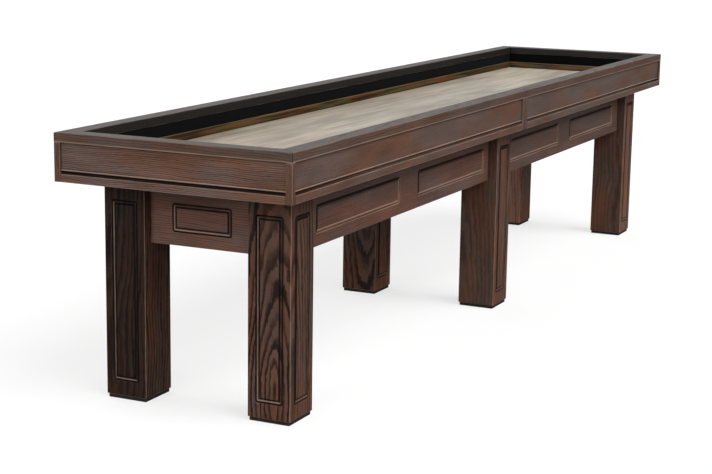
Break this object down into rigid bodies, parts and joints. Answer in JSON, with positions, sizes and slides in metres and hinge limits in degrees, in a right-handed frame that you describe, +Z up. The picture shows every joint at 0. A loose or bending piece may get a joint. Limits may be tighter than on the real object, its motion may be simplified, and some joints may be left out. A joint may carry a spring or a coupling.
{
  "type": "shuffleboard table",
  "caption": "Long shuffleboard table: a maple playfield in a gutter between dark oak rails, on square moulded legs with panelled aprons and screw-adjusted levelling feet.",
  "frame": {"origin": "on the floor, under the middle of the table", "axes": "+X along the table, -Y towards its front side, +Z up"},
  "size_m": [3.658, 0.782, 0.822],
  "materials": {
    "rail_oak": "walnut-stained oak, satin, worn lighter on its edges",
    "cap_oak": "walnut-stained oak, satin",
    "leg_oak": "walnut-stained oak with open cathedral grain, satin",
    "apron_oak": "walnut-stained oak, satin",
    "maple": "laminated maple under a clear coat",
    "ledge_oak": "olive-brown stained oak",
    "frame_timber": "plain planed timber",
    "gutter_board": "plain board",
    "gutter_carpet": "black needle-punched carpet",
    "wall_felt": "black felt over board",
    "foot_rubber": "hard black rubber",
    "zinc_steel": "zinc-plated",
    "black_steel": "black powder coat",
    "brass": "turned brass"
  },
  "bodies": {
    "table": {"adjuster_brackets": "black_steel", "adjuster_rods": "zinc_steel", "bracket_screws": "zinc_steel", "corner_posts": "rail_oak", "cross_members": "frame_timber", "end_apron_left": "apron_oak", "end_apron_right": "apron_oak", "end_cap_left": "cap_oak", "end_cap_right": "cap_oak", "end_rail_left": "rail_oak", "end_rail_right": "rail_oak", "foot_inserts": "zinc_steel", "gutter_carpets": "gutter_carpet", "gutter_floors": "gutter_board", "gutter_ledges": "ledge_oak", "joint_bolts": "zinc_steel", "joint_members": "frame_timber", "joint_stiles": "rail_oak", "leg_bolts": "zinc_steel", "leg_front_left": "leg_oak", "leg_front_middle": "leg_oak", "leg_front_right": "leg_oak", "leg_plates": "black_steel", "leg_rear_left": "leg_oak", "leg_rear_middle": "leg_oak", "leg_rear_right": "leg_oak", "playfield": "maple", "playfield_bearers": "frame_timber", "side_apron_front_left": "apron_oak", "side_apron_front_right": "apron_oak", "side_apron_rear_left": "apron_oak", "side_apron_rear_right": "apron_oak", "side_cap_front_left": "cap_oak", "side_cap_front_right": "cap_oak", "side_cap_rear_left": "cap_oak", "side_cap_rear_right": "cap_oak", "side_rail_front_left": "rail_oak", "side_rail_front_right": "rail_oak", "side_rail_rear_left": "rail_oak", "side_rail_rear_right": "rail_oak", "wall_liner_front": "wall_felt", "wall_liner_left": "wall_felt", "wall_liner_rear": "wall_felt", "wall_liner_right": "wall_felt"},
    "foot_front_left": {"foot_pad_front_left": "foot_rubber"},
    "stud_front_left": {"foot_stud_front_left": "zinc_steel"},
    "foot_front_middle": {"foot_pad_front_middle": "foot_rubber"},
    "stud_front_middle": {"foot_stud_front_middle": "zinc_steel"},
    "foot_front_right": {"foot_pad_front_right": "foot_rubber"},
    "stud_front_right": {"foot_stud_front_right": "zinc_steel"},
    "foot_rear_left": {"foot_pad_rear_left": "foot_rubber"},
    "stud_rear_left": {"foot_stud_rear_left": "zinc_steel"},
    "foot_rear_middle": {"foot_pad_rear_middle": "foot_rubber"},
    "stud_rear_middle": {"foot_stud_rear_middle": "zinc_steel"},
    "foot_rear_right": {"foot_pad_rear_right": "foot_rubber"},
    "stud_rear_right": {"foot_stud_rear_right": "zinc_steel"},
    "turnbuckle_1": {"turnbuckle_1": "brass"},
    "turnbuckle_2": {"turnbuckle_2": "brass"},
    "turnbuckle_3": {"turnbuckle_3": "brass"},
    "turnbuckle_4": {"turnbuckle_4": "brass"}
  },
  "joints": [
    {"name": "foot_travel_front_left", "type": "slide", "parent": "table", "child": "foot_front_left", "axis": [0, 0, -1], "range_m": [0, 0.014]},
    {"name": "foot_screw_front_left", "type": "hinge", "parent": "foot_front_left", "child": "stud_front_left", "pos_m": [-1.618, -0.2445, 0.03], "axis": [0, 0, -1], "range_deg": [0, 2880]},
    {"name": "foot_travel_front_middle", "type": "slide", "parent": "table", "child": "foot_front_middle", "axis": [0, 0, -1], "range_m": [0, 0.014]},
    {"name": "foot_screw_front_middle", "type": "hinge", "parent": "foot_front_middle", "child": "stud_front_middle", "pos_m": [0, -0.2445, 0.03], "axis": [0, 0, -1], "range_deg": [0, 2880]},
    {"name": "foot_travel_front_right", "type": "slide", "parent": "table", "child": "foot_front_right", "axis": [0, 0, -1], "range_m": [0, 0.014]},
    {"name": "foot_screw_front_right", "type": "hinge", "parent": "foot_front_right", "child": "stud_front_right", "pos_m": [1.618, -0.2445, 0.03], "axis": [0, 0, -1], "range_deg": [0, 2880]},
    {"name": "foot_travel_rear_left", "type": "slide", "parent": "table", "child": "foot_rear_left", "axis": [0, 0, -1], "range_m": [0, 0.014]},
    {"name": "foot_screw_rear_left", "type": "hinge", "parent": "foot_rear_left", "child": "stud_rear_left", "pos_m": [-1.618, 0.2445, 0.03], "axis": [0, 0, -1], "range_deg": [0, 2880]},
    {"name": "foot_travel_rear_middle", "type": "slide", "parent": "table", "child": "foot_rear_middle", "axis": [0, 0, -1], "range_m": [0, 0.014]},
    {"name": "foot_screw_rear_middle", "type": "hinge", "parent": "foot_rear_middle", "child": "stud_rear_middle", "pos_m": [0, 0.2445, 0.03], "axis": [0, 0, -1], "range_deg": [0, 2880]},
    {"name": "foot_travel_rear_right", "type": "slide", "parent": "table", "child": "foot_rear_right", "axis": [0, 0, -1], "range_m": [0, 0.014]},
    {"name": "foot_screw_rear_right", "type": "hinge", "parent": "foot_rear_right", "child": "stud_rear_right", "pos_m": [1.618, 0.2445, 0.03], "axis": [0, 0, -1], "range_deg": [0, 2880]},
    {"name": "turnbuckle_turn_1", "type": "hinge", "parent": "table", "child": "turnbuckle_1", "pos_m": [-1, 0, 0.664], "axis": [0, 1, 0], "range_deg": [-180, 180]},
    {"name": "turnbuckle_turn_2", "type": "hinge", "parent": "table", "child": "turnbuckle_2", "pos_m": [-0.5, 0, 0.664], "axis": [0, 1, 0], "range_deg": [-180, 180]},
    {"name": "turnbuckle_turn_3", "type": "hinge", "parent": "table", "child": "turnbuckle_3", "pos_m": [0.5, 0, 0.664], "axis": [0, 1, 0], "range_deg": [-180, 180]},
    {"name": "turnbuckle_turn_4", "type": "hinge", "parent": "table", "child": "turnbuckle_4", "pos_m": [1, 0, 0.664], "axis": [0, 1, 0], "range_deg": [-180, 180]}
  ],
  "couplings": [
    {"joint": "foot_screw_front_left", "follows": "foot_travel_front_left", "rad_per_m": 3590.3},
    {"joint": "foot_screw_front_middle", "follows": "foot_travel_front_middle", "rad_per_m": 3590.3},
    {"joint": "foot_screw_front_right", "follows": "foot_travel_front_right", "rad_per_m": 3590.3},
    {"joint": "foot_screw_rear_left", "follows": "foot_travel_rear_left", "rad_per_m": 3590.3},
    {"joint": "foot_screw_rear_middle", "follows": "foot_travel_rear_middle", "rad_per_m": 3590.3},
    {"joint": "foot_screw_rear_right", "follows": "foot_travel_rear_right", "rad_per_m": 3590.3}
  ]
}
